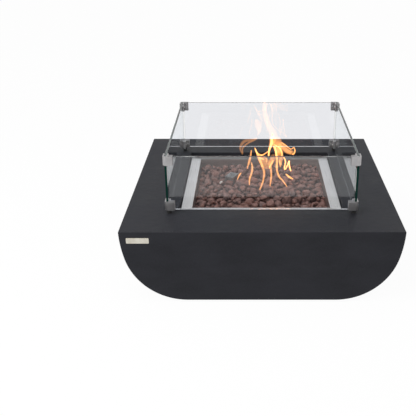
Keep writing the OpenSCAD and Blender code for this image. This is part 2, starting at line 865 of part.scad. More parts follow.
module valve_stem() {
    color("#9c9d9e") outward(knob_x) translate([0, 0, plug_z - stem_in])
        cylinder(r = stem_r, h = knob_rest + knob_len - knob_crown - plug_z + stem_in);
}

module stem_spring() {
    color("#8a8b8c") outward(knob_x) translate([0, 0, plug_low + plug_base])
        spring(stem_r - 2 * stem_wire_r, stem_wire_r, plug_z - stem_in - plug_low - plug_base);
}

module control_knob() {
    color("#26272a") outward(knob_x) translate([0, 0, knob_rest]) difference() {
        union() {
            cylinder(r = knob_r, h = knob_skirt);
            translate([0, 0, knob_skirt]) cylinder(r1 = knob_r, r2 = grip_r + skirt_ledge, h = knob_skirt);
            cylinder(r = grip_r, h = knob_len);
            translate([-pointer_w / 2, -grip_r - pointer_out, 0])
                cube([pointer_w, grip_r, knob_len + pointer_out]);
        }
        translate([0, 0, -over]) cylinder(r = hollow_r, h = knob_hollow + over);
        cylinder(r = stem_r + run_fit, h = knob_len - knob_crown + seat_fit);
        for (i = [1:knob_flutes - 1]) rotate([0, 0, 360 * i / knob_flutes - 90])
            translate([grip_r + flute_out, 0, 2 * knob_skirt + flute_up]) cylinder(r = flute_r, h = knob_len);
    }
}

// Push-button igniter with its battery

module igniter_barrel() {
    color("#202123") outward(igniter_x) difference() {
        union() {
            cylinder(r = barrel_r + flange_out, h = igniter_flange);
            translate([0, 0, -barrel_len]) cylinder(r = barrel_r, h = barrel_len + over);
            translate([-terminal_w / 2, -terminal_t / 2, -barrel_len - terminal_h])
                cube([terminal_w, terminal_t, terminal_h + over]);
        }
        translate([0, 0, barrel_floor - barrel_len])
            cylinder(r = button_r + run_fit, h = barrel_len + igniter_flange);
    }
}

module igniter_nut() {
    color("#2b2c2e") outward(igniter_x) translate([0, 0, -panel_sheet - igniter_nut_h])
        hex_nut(igniter_nut_across, igniter_nut_h, barrel_r + seat_fit);
}

module igniter_button() {
    straight = button_in + button_out - button_chamfer;
    color("#b3312a") outward(igniter_x) translate([0, 0, -button_in]) {
        cylinder(r = button_r, h = straight);
        translate([0, 0, straight])
            cylinder(r1 = button_r, r2 = button_r - button_chamfer, h = button_chamfer);
    }
}

module igniter_spring() {
    color("#8a8b8c") outward(igniter_x) translate([0, 0, -button_in - igniter_room])
        spring(button_r - igniter_coil_in, igniter_wire_r, igniter_room);
}

module igniter_battery() {
    color("#b58b3a") outward(igniter_x) translate([0, 0, barrel_floor - barrel_len]) {
        cylinder(r = battery_r, h = battery_len);
        cylinder(r = battery_tip_r, h = battery_len + battery_tip_h);
    }
}

// Gas inlet

module gas_inlet() {
    color("#b5904f") outward(inlet_x) difference() {
        union() {
            hex_bar(inlet_hex, inlet_hex_h);
            translate([0, 0, -inlet_rear]) cylinder(r = inlet_r, h = inlet_rear + inlet_hex_h + inlet_len);
            translate([0, 0, inlet_hex_h + inlet_len])
                cylinder(r1 = inlet_r - nose_in, r2 = inlet_r - nose_in - nose_taper, h = nose_h);
        }
        translate([0, 0, -inlet_rear - over]) cylinder(r = inlet_bore, h = 2 * panel_depth + inlet_rear);
    }
}

module inlet_nut() {
    color("#b5904f") outward(inlet_x) translate([0, 0, -panel_sheet - inlet_nut_h])
        hex_nut(inlet_hex, inlet_nut_h, inlet_r + seat_fit);
}

// Bent pipe from the inlet to the side of the valve
module supply_tube() {
    start = [inlet_x, panel_face - inlet_rear, panel_z];
    stop = [knob_x - valve_size[0] / 2 - boss_h, panel_face + boss_y, panel_z];
    bend = start[1] - supply_stub - stop[1];
    corner = start - [0, supply_stub, 0];
    route = concat(
        [start],
        [for (a = [0:15:90]) corner + bend * [1 - cos(a), -sin(a), 0]],
        [stop]
    );
    color("#b87333") tube(route, supply_r, 12, [0, 0, 1]);
}

// Wind guard

// Panel of glass with bevelled long edges, centred on its length along X
module pane(length) {
    a = glass_arris;
    color("#cfe3df", 0.35) rotate([90, 0, 90]) linear_extrude(height = length, center = true) polygon([
        [a, 0], [glass_t - a, 0], [glass_t, a], [glass_t, glass_h - a],
        [glass_t - a, glass_h], [a, glass_h], [0, glass_h - a], [0, a]
    ]);
}

// Panes that run along X stand between those that run along Y
module pane_x() {
    translate([0, clip_wall + glass_fit - guard_w / 2, glass_z])
        pane(guard_w - 2 * (clip_wall + slot_w + clip_web + glass_gap));
}

module pane_y() {
    rotate([0, 0, 90]) translate([0, clip_wall + glass_fit - guard_w / 2, glass_z])
        pane(guard_w - 2 * (clip_wall + glass_gap));
}

module glass_front() pane_x();
module glass_back() mirror([0, 1, 0]) pane_x();
module glass_right() pane_y();
module glass_left() mirror([1, 0, 0]) pane_y();

// Places what is drawn from a clip's outer corner, with its legs along +X and +Y
module at_clip(c) at_corner(c) translate([-guard_w / 2, -guard_w / 2, 0]) children();

// Two screws of one clip: the first presses the pane along X, the second the pane along Y
module clamp_pair() {
    inner = clip_wall + glass_fit + glass_t;
    translate([clamp_at, inner, clip_h / 2]) rotate([-90, 0, 0]) children();
    translate([inner, clamp_at, clip_h / 2]) rotate([0, 90, 0]) children();
}

// Cast corner clip, an L of two channels; floor_t closes the lower one underneath
module corner_clip(floor_t) {
    color("#a7a29c") difference() {
        linear_extrude(height = clip_h) polygon([
            [clip_bevel, 0], [clip_leg, 0], [clip_leg, clip_t], [clip_t, clip_t],
            [clip_t, clip_leg], [0, clip_leg], [0, clip_bevel]
        ]);
        translate([clip_wall, clip_wall, floor_t > 0 ? floor_t : -over]) {
            translate([slot_w + clip_web, 0, 0]) cube([clip_leg, slot_w, clip_h + 2 * over]);
            cube([slot_w, clip_leg, clip_h + 2 * over]);
        }
        clamp_pair() cylinder(r = clamp_r + run_fit, h = clip_t);
    }
}

module lower_clip(c) at_clip(c) translate([0, 0, clip_z]) corner_clip(clip_floor);
module upper_clip(c) at_clip(c) translate([0, 0, upper_z]) corner_clip(0);

module lower_clip_front_left() lower_clip(corners[0]);
module lower_clip_front_right() lower_clip(corners[1]);
module lower_clip_back_left() lower_clip(corners[2]);
module lower_clip_back_right() lower_clip(corners[3]);
module upper_clip_front_left() upper_clip(corners[0]);
module upper_clip_front_right() upper_clip(corners[1]);
module upper_clip_back_left() upper_clip(corners[2]);
module upper_clip_back_right() upper_clip(corners[3]);

module guard_foot(c) {
    color("#161617") at_clip(c) translate([guard_foot_in, guard_foot_in, top_z])
        cylinder(r = guard_foot_r, h = guard_foot_h);
}

module guard_foot_front_left() guard_foot(corners[0]);
module guard_foot_front_right() guard_foot(corners[1]);
module guard_foot_back_left() guard_foot(corners[2]);
module guard_foot_back_right() guard_foot(corners[3]);

module clip_screws() {
    color("#d4d2cd") for (c = corners, z = [clip_z, upper_z]) at_clip(c) translate([0, 0, z]) clamp_pair() {
        cylinder(r = clamp_r, h = clamp_len);
        translate([0, 0, clamp_len])
            cylinder(r1 = clamp_head_r, r2 = clamp_head_r - clamp_taper, h = clamp_head_h);
    }
}

table_body();
foot_front_left();
foot_front_right();
foot_back_left();
foot_back_right();
burner_pan();
burner_ring();
burner_nipple();
upper_locknut();
lower_locknut();
air_mixer();
orifice_elbow();
burner_gas_line();
lava_rock_bed();
lava_rocks();
igniter_cage();
sensor_bracket();
igniter_electrode();
electrode_pin();
flame_probe();
probe_tip();
igniter_lead();
probe_lead();
control_panel();
panel_screws();
gas_valve();
valve_nut();
valve_plug();
valve_cap();
valve_stem();
stem_spring();
control_knob();
igniter_barrel();
igniter_nut();
igniter_button();
igniter_spring();
igniter_battery();
gas_inlet();
inlet_nut();
supply_tube();
glass_front();
glass_back();
glass_left();
glass_right();
lower_clip_front_left();
lower_clip_front_right();
lower_clip_back_left();
lower_clip_back_right();
upper_clip_front_left();
upper_clip_front_right();
upper_clip_back_left();
upper_clip_back_right();
guard_foot_front_left();
guard_foot_front_right();
guard_foot_back_left();
guard_foot_back_right();
clip_screws();
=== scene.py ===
"""Looks, light and camera for the fire pit table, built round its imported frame. Lengths are in metres."""

import json
import math

import bmesh
import bpy
import numpy as np
from mathutils import Euler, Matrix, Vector, noise

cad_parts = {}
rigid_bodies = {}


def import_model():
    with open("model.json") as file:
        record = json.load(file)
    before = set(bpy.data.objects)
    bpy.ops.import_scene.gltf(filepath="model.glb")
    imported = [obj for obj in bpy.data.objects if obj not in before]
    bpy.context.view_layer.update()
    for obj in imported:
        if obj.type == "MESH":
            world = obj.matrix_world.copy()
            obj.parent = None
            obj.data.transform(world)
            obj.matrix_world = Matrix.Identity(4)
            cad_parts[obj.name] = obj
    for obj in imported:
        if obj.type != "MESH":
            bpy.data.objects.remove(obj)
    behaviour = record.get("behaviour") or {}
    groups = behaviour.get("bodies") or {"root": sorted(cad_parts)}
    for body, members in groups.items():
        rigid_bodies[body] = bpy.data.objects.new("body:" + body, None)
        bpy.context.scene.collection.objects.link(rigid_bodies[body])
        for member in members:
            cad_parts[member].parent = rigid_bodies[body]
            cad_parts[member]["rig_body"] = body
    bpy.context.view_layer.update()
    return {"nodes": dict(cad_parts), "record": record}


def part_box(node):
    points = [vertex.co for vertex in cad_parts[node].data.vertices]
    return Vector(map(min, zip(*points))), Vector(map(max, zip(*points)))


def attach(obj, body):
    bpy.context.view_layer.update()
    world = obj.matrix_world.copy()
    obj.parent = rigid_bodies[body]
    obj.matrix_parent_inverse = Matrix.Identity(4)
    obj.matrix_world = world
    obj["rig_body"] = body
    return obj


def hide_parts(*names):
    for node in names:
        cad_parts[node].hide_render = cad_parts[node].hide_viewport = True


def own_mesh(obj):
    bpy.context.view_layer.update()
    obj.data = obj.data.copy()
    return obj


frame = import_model()

# Camera, at the photograph's angle
CAMERA_PLACE = (-0.0412, -2.6574, 1.3560)
CAMERA_TILT = 65.51
CAMERA_LENS = 60.28
CAMERA_SENSOR = 36.0
CAMERA_SHIFT = -0.1017

# Studio light
WHITE = (1.0, 1.0, 1.0)
FILL_LEVEL = 0.62
KEY_POWER = 70.0
KEY_SIZE = 2.6
KEY_PLACE = (-1.5, -1.5, 2.8)
KEY_AIM = (0.0, 0.0, 0.2)
FLOOR_HALF = 12.0
FLOOR_COLOR = (0.90, 0.90, 0.90)
FLOOR_GLOW = 0.96

# Form of one lava stone, in shares of its radius
STONE_KINDS = 14
KIND_SEED = 1000
FINE_LEVEL = 3
PLAIN_LEVEL = 2
STONE_STRETCH = (0.82, 1.14)
STONE_FLATS = 9
FLAT_REACH = (0.60, 0.86)
FLAT_CUT = 0.92
SHAPE_SHIFT = 40.0
LUMP_SCALE = 1.5
LUMP_HEIGHT = 0.13
PIT_SCALE = 3.4
PIT_REACH = 0.42
PIT_DEPTH = 0.10
STONE_CREASE = 42.0

# How each finer layer of the rock's noise gets weaker, how much finer it is, and the number of layers
NOISE_FALL = 0.8
NOISE_STEP = 2.1
STONE_LAYERS = 5
BED_LAYERS = 3

# Pile of stones and chips
STONE_SEED = 11
STONE_R = (0.0130, 0.0205)
CHIP_R = (0.0070, 0.0105)
STONE_TRIES = 60
STONE_MISSES = 160
STONE_SWELL = 1.07
STONE_FLOOR = 0.2080
PILE_EDGE = 0.2540
PILE_MIDDLE = 0.2620
PILE_CURVE = 1.5
PILE_UNEVEN = 0.0060
CHIP_DROP = 0.0080
TONE_CURVE = 0.9

# Two stones that lean on the igniter's cage: x, y, z and radius
LEANING = ((-0.1293, 0.0464, 0.2395, 0.0160), (-0.0929, 0.0641, 0.2320, 0.0165))

# Nodes that stones stay off, the room round each, and whether stones may lie under it
KEPT_CLEAR = (("igniter_cage", 0.0005, False), ("probe_tip", 0.003, True), ("flame_probe", 0.001, True))
CLEAR_WAYS = 16

# Buried rock under the pile
BED_STEP = 0.006
BED_SUNK = 0.008
BED_LUMP = 0.004
BED_LUMP_SCALE = 70.0
# Painted shade: the buried rock gets a dark tone, for the shade in the gaps between the stones
BED_SHADE_TONE = 0.1

# Rounded edges of the clips, knob and button, with angles in degrees
SOFT_EDGE = 0.0008
SOFT_STEPS = 2
SAME_POINT = 1e-6
FLAT_ANGLE = 0.5
SHARP_ANGLE = 30.0
CREASE_ANGLE = 35.0

# Bare name plate on the front face: corners in x and z
PLATE_LOW = Vector((-0.4740, 0.2375))
PLATE_HIGH = Vector((-0.3945, 0.2585))
PLATE_THICK = 0.0016
PLATE_CORNER = 0.0012
PLATE_CORNER_STEPS = 4
PLATE_RIM = 0.0006

# Flame: each tongue has a glow, then points in millimetres: x, y, z and half width
FLAME_COLOR = (1.0, 0.40, 0.11)
FLAME_BEAD = 1.2
FLAME_GAP = 0.0050
FLAME_THIN = 0.0020
FLAME_STEPS = 60
FLAME_TONGUES = (
    # Roots among the stones
    (0.9, (-97, 70, 244, 2), (-88, 50, 273, 3), (-79, 30, 293, 2)),
    (1.4, (-45, 20, 244, 2), (-44, 24, 268, 4), (-35, 26, 297, 4), (-33, 28, 320, 4), (-37, 30, 338, 2)),
    (1.2, (-54, 30, 312, 2), (-46, 30, 342, 5), (-40, 30, 366, 4), (-37, 30, 392, 2)),
    (1.3, (-2, -30, 244, 3), (9, -20, 270, 4), (14, -12, 292, 4), (15, -4, 313, 5), (7, 4, 335, 5)),
    (1.5, (7, 4, 335, 5), (-3, 12, 357, 6), (-13, 20, 379, 4), (-23, 30, 402, 2)),
    (1.3, (39, -10, 244, 2), (44, 4, 277, 4), (45, 17, 297, 4), (42, 30, 325, 5)),
    (1.6, (111, -10, 246, 2), (93, -4, 271, 3), (78, 2, 286, 4), (69, 7, 309, 4), (67, 13, 328, 5)),
    (1.8, (67, 13, 328, 5), (68, 19, 351, 5), (66, 24, 375, 4), (60, 30, 405, 2)),
    (1.8, (143, 66, 248, 2), (122, 54, 265, 4), (107, 42, 283, 2)),
    (1.6, (96, 30, 362, 2), (105, 60, 332, 3), (103, 90, 297, 3), (107, 110, 276, 3), (117, 70, 319, 3)),
    (2.0, (117, 70, 319, 3), (120, 52, 338, 2), (122, 80, 310, 3), (127, 104, 284, 3), (132, 120, 266, 2)),
    (0.6, (78, 46, 345, 2), (83, 75, 314, 3), (86, 95, 293, 2)),
    (0.55, (88, 30, 364, 9), (84, 40, 345, 9), (84, 55, 328, 6), (88, 70, 312, 3)),
    # Basket between the roots and the column
    (0.80, (3, 30, 362, 11), (13, 30, 348, 18), (23, 30, 334, 20), (29, 30, 323, 13)),
    (0.90, (54, 30, 362, 12), (46, 30, 345, 11), (39, 30, 326, 9)),
    (1.8, (-21, 30, 396, 2), (-14, 30, 381, 3), (-3, 30, 371, 4), (10, 30, 371, 3), (32, 30, 386, 2)),
    (1.6, (-1, 30, 360, 2), (7, 30, 355, 3), (14, 30, 352, 2)),
    (1.8, (52, 30, 347, 2), (46, 30, 334, 3), (40, 30, 323, 3), (37, 30, 312, 2)),
    (1.0, (23, 30, 359, 2), (26, 30, 351, 3), (25, 30, 340, 2)),
    # Column
    (1.0, (35, 30, 370, 4), (36, 30, 392, 5), (41, 30, 411, 7), (48, 30, 427, 11), (50, 30, 440, 15)),
    (1.3, (77, 30, 370, 15), (74, 30, 386, 13), (70, 30, 402, 17), (67, 30, 419, 20), (68, 30, 435, 18)),
    (2.2, (33, 20, 370, 3), (34, 20, 384, 3), (37, 20, 400, 4), (43, 20, 416, 5), (46, 20, 432, 6)),
    (2.2, (46, 20, 432, 6), (45, 20, 444, 5), (50, 20, 456, 4), (47, 20, 469, 2)),
    (1.8, (88, 20, 369, 3), (88, 20, 384, 4), (80, 20, 401, 3), (66, 20, 413, 2), (53, 20, 419, 2)),
    (1.4, (64, 20, 369, 3), (62, 20, 384, 3), (59, 20, 400, 3), (53, 20, 413, 2)),
    # Lobe on the right
    (1.1, (84, 30, 413, 11), (97, 30, 400, 12), (112, 30, 386, 10), (130, 30, 381, 9)),
    (1.8, (87, 30, 424, 2), (102, 30, 413, 2), (115, 30, 402, 2), (125, 30, 396, 2), (137, 30, 404, 2)),
    (1.8, (138, 30, 402, 2), (141, 30, 389, 3), (138, 30, 377, 3), (131, 30, 373, 2)),
    # Plume, puff and curl
    (0.30, (53, 30, 443, 18), (53, 30, 456, 17), (47, 30, 472, 15), (36, 30, 490, 12), (28, 30, 509, 12)),
    (0.30, (28, 30, 509, 12), (21, 30, 532, 10), (16, 30, 555, 9), (15, 30, 578, 8), (16, 30, 610, 3)),
    (0.24, (-12, 30, 456, 2), (-5, 30, 472, 7), (-8, 30, 490, 13), (-12, 30, 506, 13), (-17, 30, 518, 5)),
    (0.33, (-74, 30, 374, 2), (-82, 30, 403, 5), (-66, 30, 429, 7), (-42, 30, 435, 5), (-14, 30, 443, 2)),
    (0.40, (-72, 30, 378, 2), (-72, 30, 400, 3), (-52, 30, 421, 4), (-22, 30, 436, 3), (-14, 30, 443, 2)),
)


class Finish:
    """A material round one principled shader. Its methods add nodes and give back their outputs."""

    def __init__(self, name, **sockets):
        self.material = bpy.data.materials.new(name)
        self.material.use_nodes = True
        self.nodes = self.material.node_tree.nodes
        self.links = self.material.node_tree.links
        self.shader = self.nodes["Principled BSDF"]
        self.output = self.nodes["Material Output"]
        self.where = self.nodes.new("ShaderNodeTexCoord").outputs["Object"]
        self.normal = None
        self.set(**sockets)

    def feed(self, socket, value):
        """Link a socket to an output, or give it a plain value."""
        if isinstance(value, bpy.types.NodeSocket):
            self.links.new(value, socket)
        elif isinstance(value, tuple) and len(value) == 3 and socket.type == "RGBA":
            socket.default_value = (*value, 1.0)
        else:
            socket.default_value = value

    def set(self, **sockets):
        """Set the shader's sockets, named with _ for a space."""
        for name, value in sockets.items():
            self.feed(self.shader.inputs[name.replace("_", " ")], value)

    def add(self, kind, inputs, result=0, **settings):
        """Add a node, feed its inputs and give back one output."""
        node = self.nodes.new("ShaderNode" + kind)
        for name, value in settings.items():
            setattr(node, name, value)
        for name, value in inputs.items():
            self.feed(node.inputs[name], value)
        return node.outputs[result]

    def grain(self, size, detail=3.0, stretch=(1.0, 1.0, 1.0)):
        """Noise with lumps of about one size, drawn out along an axis by stretch."""
        scale = tuple(1.0 / (size * s) for s in stretch)
        place = self.add("Mapping", {"Vector": self.where, "Scale": scale})
        return self.add("TexNoise", {"Vector": place, "Scale": 1.0, "Detail": detail})

    def pores(self, size):
        """Distance to the nearest of scattered points, in shares of the size."""
        return self.add("TexVoronoi", {"Vector": self.where, "Scale": 1.0 / size})

    def facing(self, axis, kind="True Normal"):
        """How far the surface faces along X, Y or Z, from -1 to 1."""
        normal = self.add("NewGeometry", {}, kind)
        return self.add("SeparateXYZ", {"Vector": normal}, axis)

    def span(self, value, low, high, start=0.32, end=0.68):
        """Spread a value over a range. Start and end suit noise, which keeps near its middle."""
        inputs = {"Value": value, "From Min": start, "From Max": end, "To Min": low, "To Max": high}
        return self.add("MapRange", inputs)

    def math(self, operation, first, second=0.0):
        """One operation on plain numbers."""
        return self.add("Math", {0: first, 1: second}, operation=operation)

    def ramp(self, value, *stops):
        """Colours along a value; a stop is a place and a colour."""
        node = self.nodes.new("ShaderNodeValToRGB")
        elements = node.color_ramp.elements
        elements.remove(elements[1])
        elements[0].position = stops[0][0]
        elements[0].color = (*stops[0][1], 1.0)
        for place, color in stops[1:]:
            elements.new(place).color = (*color, 1.0)
        self.feed(node.inputs[0], value)
        return node.outputs[0]

    def mix(self, share, first, second):
        """Mix two colours: on this node they have sockets 6 and 7, and output 2."""
        node = self.nodes.new("ShaderNodeMix")
        node.data_type = "RGBA"
        self.feed(node.inputs[0], share)
        self.feed(node.inputs[6], first)
        self.feed(node.inputs[7], second)
        return node.outputs[2]

    def bump(self, height, depth, strength=1.0):
        """Raise the surface by a height from 0 to 1, on top of any bump before."""
        inputs = {"Height": height, "Distance": depth, "Strength": strength}
        if self.normal:
            inputs["Normal"] = self.normal
        self.normal = self.add("Bump", inputs)
        self.feed(self.shader.inputs["Normal"], self.normal)


def cast_body():
    """Dark fibre-reinforced cast stone, with cloudy patches and a fine sandy skin."""
    f = Finish("cast_body", Specular_IOR_Level=0.20)
    cloud = f.grain(size=0.08, detail=5.0, stretch=(2.2, 2.2, 1.0))
    ripple = f.grain(size=0.022)
    sand = f.grain(size=0.0032, detail=2.0)
    tone = f.ramp(cloud, (0.36, (0.0104, 0.0109, 0.0143)), (0.64, (0.0180, 0.0186, 0.0234)))
    f.set(Base_Color=f.mix(f.span(sand, 0.0, 0.25), tone, (0.027, 0.028, 0.035)))
    f.set(Roughness=f.span(cloud, 0.54, 0.68))
    f.bump(ripple, depth=0.0009)
    f.bump(sand, depth=0.00035)
    return f.material


def brushed_pan():
    """Brushed stainless sheet, brushed along each of its four sides, with a mitre at the corners.

    The flange's strips at the front and back carry painted shade: a darker tone than the rest, for the
    dimmer reflection they show.
    """
    f = Finish("pan_steel", Metallic=1.0)
    x, y = (f.add("SeparateXYZ", {"Vector": f.where}, axis) for axis in (0, 1))
    on_side = f.math("GREATER_THAN", f.math("ABSOLUTE", x), f.math("ABSOLUTE", y))
    brushed_x = f.grain(size=0.0011, stretch=(160.0, 1.0, 1.0))
    brushed_y = f.grain(size=0.0011, stretch=(1.0, 160.0, 1.0))
    brush = f.mix(on_side, brushed_x, brushed_y)
    pale = f.ramp(brush, (0.30, (0.63, 0.625, 0.61)), (0.70, (0.72, 0.715, 0.70)))
    # Painted shade: the darker tone of the front and back strips of the flange, for the dimmer reflection
    # they show
    dark = f.ramp(brush, (0.30, (0.35, 0.346, 0.337)), (0.70, (0.41, 0.405, 0.393)))
    on_flange = f.math("GREATER_THAN", f.facing(axis=2), 0.5)
    steel_with_painted_shade = f.mix(on_side, f.mix(on_flange, pale, dark), pale)
    stain = f.grain(size=0.07, detail=4.0)
    f.set(Base_Color=f.mix(f.span(stain, 0.0, 0.30), steel_with_painted_shade, (0.50, 0.49, 0.47)))
    f.set(Roughness=f.span(brush, 0.27, 0.36))
    f.bump(brush, depth=0.00012, strength=0.25)
    return f.material


def lava_rock():
    """Porous lava: each stone has its own tone, from grey to rusty red, with dust and a painted highlight
    on top, and pores painted dark with shade.
    """
    f = Finish("lava_rock", Specular_IOR_Level=0.25)
    tone = f.add("Attribute", {}, "Fac", attribute_name="tone")
    stone = f.ramp(
        tone,
        (0.00, (0.070, 0.056, 0.055)),
        (0.25, (0.125, 0.066, 0.054)),
        (0.55, (0.180, 0.070, 0.050)),
        (0.80, (0.220, 0.100, 0.078)),
        (1.00, (0.180, 0.140, 0.134)),
    )
    blotch = f.grain(size=0.011, detail=4.0)
    grit = f.grain(size=0.0016, detail=2.0)
    hole = f.span(f.pores(size=0.0042), 1.0, 0.0, start=0.12, end=0.34)
    # Dust and painted highlight: faces that look up are painted lighter, partly for dust and partly for the
    # light that falls on the tops
    dust_and_painted_light = f.span(f.facing(axis=2, kind="Normal"), 0.0, 0.65, start=0.25, end=1.0)
    dusty_and_lit_tops = f.mix(dust_and_painted_light, stone, (0.400, 0.232, 0.200))
    blotched = f.mix(f.span(blotch, 0.0, 0.35), dusty_and_lit_tops, (0.285, 0.160, 0.132))
    gritty = f.mix(f.span(grit, 0.0, 0.35), blotched, (0.060, 0.036, 0.030))
    # Painted shade: the pores are painted near black, for the shade that falls in them
    f.set(Base_Color=f.mix(f.math("MULTIPLY", hole, 0.8), gritty, (0.020, 0.013, 0.011)))
    f.set(Roughness=f.span(blotch, 0.82, 0.97))
    f.bump(f.math("SUBTRACT", f.span(grit, 0.0, 0.5), hole), depth=0.0012)
    return f.material


def clear_glass(name, long_axis):
    """Tempered clear glass, open to the lamps: green in its depth, and dark at its upright ends."""
    f = Finish(name, Base_Color=(0.93, 0.915, 0.95), IOR=1.5, Transmission_Weight=1.0)
    smear = f.grain(size=0.05, detail=4.0)
    f.set(Roughness=f.span(smear, 0.0, 0.02))
    is_end = f.math("GREATER_THAN", f.math("ABSOLUTE", f.facing(long_axis)), 0.9)
    end = f.add("BsdfDiffuse", {"Color": (0.007, 0.031, 0.024)})
    pane = f.add("MixShader", {0: is_end, 1: f.shader.outputs[0], 2: end})
    is_shadow = f.add("LightPath", {}, "Is Shadow Ray")
    see_through = f.add("BsdfTransparent", {"Color": (0.93, 0.95, 0.95)})
    f.feed(f.output.inputs["Surface"], f.add("MixShader", {0: is_shadow, 1: pane, 2: see_through}))
    depth = f.add("VolumeAbsorption", {"Color": (0.0, 0.42, 0.32), "Density": 7.5})
    f.feed(f.output.inputs["Volume"], depth)
    return f.material


def metal(name, dark, bright, rough, grain=0.0009, stretch=(1.0, 1.0, 24.0), depth=0.00006):
    """A drawn, cast or plated metal: fine grain in one direction, and cloudy tarnish."""
    f = Finish(name, Metallic=1.0)
    line = f.grain(grain, stretch=stretch)
    cloud = f.grain(size=0.03, detail=4.0)
    f.set(Base_Color=f.ramp(cloud, (0.34, dark), (0.66, bright)))
    f.set(Roughness=f.span(f.mix(0.5, line, cloud), *rough, start=0.38, end=0.62))
    f.bump(line, depth)
    return f.material


def moulded(name, dark, bright, rough):
    """A moulded plastic, rubber or ceramic: fine pebbled skin and slight uneven colour."""
    f = Finish(name)
    pebble = f.grain(size=0.0009, detail=2.0)
    cloud = f.grain(size=0.02)
    f.set(Base_Color=f.ramp(cloud, (0.32, dark), (0.68, bright)))
    f.set(Roughness=f.span(cloud, *rough))
    f.bump(pebble, depth=0.00008)
    return f.material


# Dark tone, bright tone and roughness of each plain metal and moulded material
METALS = {
    "clip_nickel": ((0.35, 0.34, 0.345), (0.43, 0.42, 0.425), (0.31, 0.43)),
    "screw_steel": ((0.42, 0.42, 0.42), (0.60, 0.60, 0.60), (0.22, 0.38)),
    "burner_steel": ((0.22, 0.19, 0.16), (0.46, 0.43, 0.39), (0.34, 0.56)),
    "line_steel": ((0.40, 0.40, 0.40), (0.54, 0.54, 0.54), (0.28, 0.42)),
    "brass": ((0.50, 0.36, 0.15), (0.68, 0.50, 0.23), (0.24, 0.42)),
    "copper": ((0.50, 0.24, 0.13), (0.72, 0.37, 0.22), (0.24, 0.44)),
    "cage_steel": ((0.28, 0.28, 0.277), (0.46, 0.46, 0.455), (0.30, 0.46)),
    "probe_steel": ((0.10, 0.09, 0.08), (0.20, 0.18, 0.16), (0.30, 0.44)),
    "spring_steel": ((0.34, 0.34, 0.34), (0.52, 0.52, 0.52), (0.24, 0.36)),
    "battery_case": ((0.30, 0.30, 0.31), (0.46, 0.46, 0.47), (0.30, 0.44)),
}
MOULDINGS = {
    "rubber": ((0.012, 0.012, 0.012), (0.022, 0.022, 0.022), (0.62, 0.82)),
    "lead_rubber": ((0.016, 0.016, 0.016), (0.030, 0.030, 0.030), (0.50, 0.70)),
    "ceramic": ((0.70, 0.68, 0.63), (0.82, 0.81, 0.78), (0.24, 0.42)),
    "knob_plastic": ((0.014, 0.014, 0.015), (0.024, 0.024, 0.025), (0.34, 0.48)),
    "igniter_plastic": ((0.018, 0.018, 0.019), (0.030, 0.030, 0.031), (0.40, 0.54)),
    "button_plastic": ((0.016, 0.016, 0.017), (0.028, 0.028, 0.029), (0.30, 0.44)),
}


def brushed_panel():
    """The control panel's steel, brushed from side to side."""
    tones = ((0.53, 0.53, 0.525), (0.59, 0.59, 0.585))
    return metal("panel_steel", *tones, (0.28, 0.40), grain=0.0008, stretch=(60.0, 1.0, 1.0))


def cast_valve():
    """The valve's die-cast aluminium, grainy and with no direction."""
    tones = ((0.52, 0.52, 0.53), (0.66, 0.66, 0.67))
    even = (1.0, 1.0, 1.0)
    return metal("valve_aluminium", *tones, (0.40, 0.58), grain=0.0012, stretch=even, depth=0.0002)


def plate_metal():
    """The name plate's pale metal, brushed along it."""
    tones = ((0.60, 0.56, 0.48), (0.72, 0.69, 0.61))
    return metal("plate_metal", *tones, (0.30, 0.42), grain=0.0006, stretch=(80.0, 1.0, 1.0))


FINISHES = {
    "cast_body": cast_body(),
    "pan_steel": brushed_pan(),
    "lava_rock": lava_rock(),
    "glass": clear_glass("glass", long_axis=0),
    "panel_steel": brushed_panel(),
    "valve_aluminium": cast_valve(),
    **{name: metal(name, *tones) for name, tones in METALS.items()},
    **{name: moulded(name, *tones) for name, tones in MOULDINGS.items()},
}
SLOTS = {row["node"]: row["material_slot"] for row in frame["record"]["subparts"]}


def dress_nodes():
    """Give every CAD node the finish of its slot. The panes at the sides lie along Y."""
    side_glass = clear_glass("side_glass", long_axis=1)
    for node, slot in SLOTS.items():
        at_side = node in ("glass_left", "glass_right")
        mesh = frame["nodes"][node].data
        mesh.materials.clear()
        mesh.materials.append(side_glass if at_side else FINISHES[slot])


def new_piece(name, mesh, slot, body, finish=None):
    """Link a mesh as a piece that rides on a body."""
    piece = bpy.data.objects.new(name, mesh)
    bpy.context.scene.collection.objects.link(piece)
    mesh.materials.append(finish or FINISHES[slot])
    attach(piece, body)
    return piece


def smooth_by_angle(mesh, degrees):
    """Smooth faces that meet at less than an angle."""
    mesh.polygons.foreach_set("use_smooth", [True] * len(mesh.polygons))
    mesh.set_sharp_from_angle(angle=math.radians(degrees))


def stone_shape(kind, level):
    """Points and faces of one stone of about unit radius: a ball, chipped flat, lumpy and pitted."""
    draw = np.random.default_rng(KIND_SEED + kind)
    ball = bmesh.new()
    bmesh.ops.create_icosphere(ball, subdivisions=level, radius=1.0)
    points = np.array([v.co[:] for v in ball.verts])
    faces = np.array([[v.index for v in f.verts] for f in ball.faces])
    ball.free()
    points *= draw.uniform(*STONE_STRETCH, 3)
    for _ in range(STONE_FLATS):
        way = draw.normal(size=3)
        way /= np.linalg.norm(way)
        over = np.maximum(points @ way - draw.uniform(*FLAT_REACH), 0.0)
        points -= FLAT_CUT * over[:, None] * way
    shift = draw.uniform(-SHAPE_SHIFT, SHAPE_SHIFT, 3)
    for i, point in enumerate(points):
        lump = noise.fractal(Vector(point * LUMP_SCALE + shift), NOISE_FALL, NOISE_STEP, STONE_LAYERS)
        nearest = noise.voronoi(Vector(point * PIT_SCALE + shift))[0][0]
        pit = max(0.0, PIT_REACH - nearest) / PIT_REACH
        points[i] = point * (1.0 + LUMP_HEIGHT * lump - PIT_DEPTH * pit * pit)
    return points, faces


